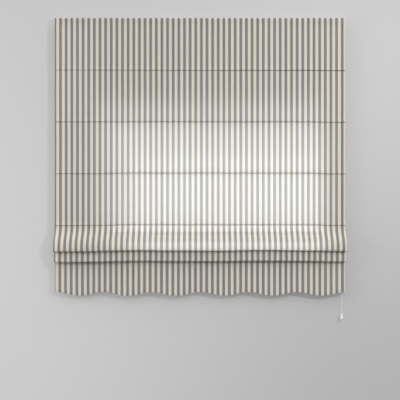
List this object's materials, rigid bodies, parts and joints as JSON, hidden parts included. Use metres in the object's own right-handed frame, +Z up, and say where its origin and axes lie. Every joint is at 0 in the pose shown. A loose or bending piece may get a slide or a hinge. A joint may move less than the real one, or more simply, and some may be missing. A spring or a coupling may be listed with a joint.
{
  "type": "roman blind",
  "caption": "Cord-operated roman blind of striped cloth, part raised, with sewn rod tucks, gathered folds and a scalloped valance on a wall-mounted headrail.",
  "frame": {"origin": "centre of the outer wall brackets' screw holes, on the wall plane behind the headrail", "axes": "+X to the right along the headrail as seen from the room, +Y into the wall, +Z up"},
  "size_m": [1.3, 0.076, 1.357],
  "materials": {
    "striped_cloth": "plain woven cotton with soft-edged stripes",
    "lining_cloth": "plain woven pale cloth",
    "tape": "hook and loop tape",
    "white_rail": "satin white powder coat",
    "zinc_steel": "zinc-plated pressed steel",
    "fibreglass": "pultruded rod, satin",
    "white_plastic": "moulded, satin",
    "clear_plastic": "moulded, milky",
    "bar_aluminium": "mill finish",
    "pin_steel": "drawn wire",
    "lock_brass": "knurled, plain",
    "white_cord": "braided polyester",
    "acorn_white": "moulded, glossy"
  },
  "bodies": {
    "headrail": {"headrail": "white_rail", "end_cap_left": "white_plastic", "end_cap_right": "white_plastic", "wall_bracket_left": "zinc_steel", "wall_bracket_centre": "zinc_steel", "wall_bracket_right": "zinc_steel", "hook_tape": "tape", "loop_tape": "tape", "fabric": "striped_cloth", "cord_guide_1": "white_plastic", "cord_guide_2": "white_plastic", "cord_guide_3": "white_plastic", "cord_guide_4": "white_plastic", "roller_pins": "pin_steel", "cord_lock_body": "white_plastic", "lift_cord_1": "white_cord", "lift_cord_2": "white_cord", "lift_cord_3": "white_cord", "lift_cord_4": "white_cord"},
    "guide_roller_1": {"guide_roller_1": "white_plastic"},
    "guide_roller_2": {"guide_roller_2": "white_plastic"},
    "guide_roller_3": {"guide_roller_3": "white_plastic"},
    "guide_roller_4": {"guide_roller_4": "white_plastic"},
    "lock_wrap_roller": {"lock_wrap_roller": "white_plastic"},
    "locking_roller": {"locking_roller": "lock_brass"},
    "rod_1": {"rod_1": "fibreglass", "rod_tips_1": "white_plastic", "rings_1": "clear_plastic"},
    "rod_2": {"rod_2": "fibreglass", "rod_tips_2": "white_plastic", "rings_2": "clear_plastic"},
    "rod_3": {"rod_3": "fibreglass", "rod_tips_3": "white_plastic", "rings_3": "clear_plastic"},
    "rod_4": {"rod_4": "fibreglass", "rod_tips_4": "white_plastic", "rings_4": "clear_plastic"},
    "rod_5": {"rod_5": "fibreglass", "rod_tips_5": "white_plastic", "rings_5": "clear_plastic"},
    "bottom_bar": {"bottom_bar": "bar_aluminium", "bar_end_caps": "white_plastic", "bar_pocket": "lining_cloth", "rings_6": "clear_plastic", "cord_orbs": "clear_plastic"},
    "pull": {"cord_joiner": "acorn_white", "pull_cord": "white_cord", "acorn": "acorn_white"}
  },
  "joints": [
    {"name": "raise", "type": "slide", "parent": "headrail", "child": "rod_1", "axis": [0, 0, 1], "range_m": [0, 0.178], "deforming": ["fabric", "lift_cord_1", "lift_cord_2", "lift_cord_3", "lift_cord_4"]},
    {"name": "panel_2_fold", "type": "slide", "parent": "rod_1", "child": "rod_2", "axis": [0, 0, 1], "range_m": [0, 0.219]},
    {"name": "panel_3_fold", "type": "slide", "parent": "rod_2", "child": "rod_3", "axis": [0, 0, 1], "range_m": [0, 0.219]},
    {"name": "panel_4_fold", "type": "slide", "parent": "rod_3", "child": "rod_4", "axis": [0, 0, 1], "range_m": [0, 0.219]},
    {"name": "let_down", "type": "slide", "parent": "rod_4", "child": "rod_5", "axis": [0, 0, 1], "range_m": [-0.2138, 0]},
    {"name": "panel_6_fold", "type": "slide", "parent": "rod_5", "child": "bottom_bar", "axis": [0, 0, 1], "range_m": [-0.262, 0]},
    {"name": "cord_pull", "type": "slide", "parent": "headrail", "child": "pull", "axis": [0, 0, -1], "range_m": [0, 0.835]},
    {"name": "guide_roller_1_spin", "type": "hinge", "parent": "headrail", "child": "guide_roller_1", "pos_m": [-0.545, -0.02231, -0.005], "axis": [0, 1, 0], "range_deg": [0, 9570]},
    {"name": "guide_roller_2_spin", "type": "hinge", "parent": "headrail", "child": "guide_roller_2", "pos_m": [-0.17833, -0.02231, -0.005], "axis": [0, 1, 0], "range_deg": [0, 9570]},
    {"name": "guide_roller_3_spin", "type": "hinge", "parent": "headrail", "child": "guide_roller_3", "pos_m": [0.18833, -0.02231, -0.005], "axis": [0, 1, 0], "range_deg": [0, 9570]},
    {"name": "guide_roller_4_spin", "type": "hinge", "parent": "headrail", "child": "guide_roller_4", "pos_m": [0.555, -0.02231, -0.005], "axis": [0, 1, 0], "range_deg": [0, 9570]},
    {"name": "lock_wrap_roller_spin", "type": "hinge", "parent": "headrail", "child": "lock_wrap_roller", "pos_m": [0.636, -0.02231, -0.005], "axis": [0, 1, 0], "range_deg": [0, 9570]},
    {"name": "lock_release", "type": "slide", "parent": "headrail", "child": "locking_roller", "axis": [-0.5, 0, 0.866], "range_m": [0, 0.004]}
  ],
  "couplings": [
    {"joint": "panel_2_fold", "follows": "raise", "ratio": 1.23},
    {"joint": "panel_3_fold", "follows": "raise", "ratio": 1.23},
    {"joint": "panel_4_fold", "follows": "raise", "ratio": 1.23},
    {"joint": "panel_6_fold", "follows": "let_down", "ratio": 1.2254},
    {"joint": "cord_pull", "follows": "raise", "ratio": 4.69},
    {"joint": "guide_roller_1_spin", "follows": "raise", "rad_per_m": 938},
    {"joint": "guide_roller_2_spin", "follows": "raise", "rad_per_m": 938},
    {"joint": "guide_roller_3_spin", "follows": "raise", "rad_per_m": 938},
    {"joint": "guide_roller_4_spin", "follows": "raise", "rad_per_m": 938},
    {"joint": "lock_wrap_roller_spin", "follows": "raise", "rad_per_m": 938}
  ]
}
